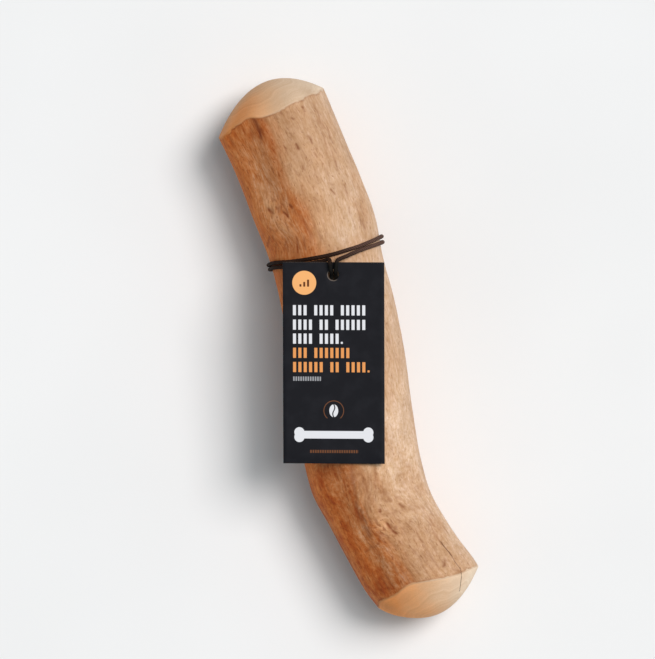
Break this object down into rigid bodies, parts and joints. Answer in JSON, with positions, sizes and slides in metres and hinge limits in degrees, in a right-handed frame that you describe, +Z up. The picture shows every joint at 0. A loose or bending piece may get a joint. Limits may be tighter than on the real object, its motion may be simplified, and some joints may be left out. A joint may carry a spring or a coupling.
{
  "type": "coffee wood chew stick",
  "caption": "Bent length of peeled coffee-tree wood with domed, sanded ends, and a card tag tied on with a dark cord; it lies on its side.",
  "frame": {"origin": "middle of the footprint, on the surface that the stick lies on", "axes": "+Y along the stick from its lower end to the end nearer the tag's cord, +X across it to the side that the lower end bends to, +Z up through the tag's face"},
  "size_m": [0.0649, 0.222, 0.0516],
  "materials": {
    "coffee_wood": "peeled and lightly sanded, dry and unvarnished, with brown streaks and pits",
    "black_card": "matt printed black with plain white and orange marks",
    "waxed_cord": "dark brown waxed twine"
  },
  "bodies": {
    "root": {"stick": "coffee_wood", "tag": "black_card", "cord": "waxed_cord"}
  },
  "joints": []
}
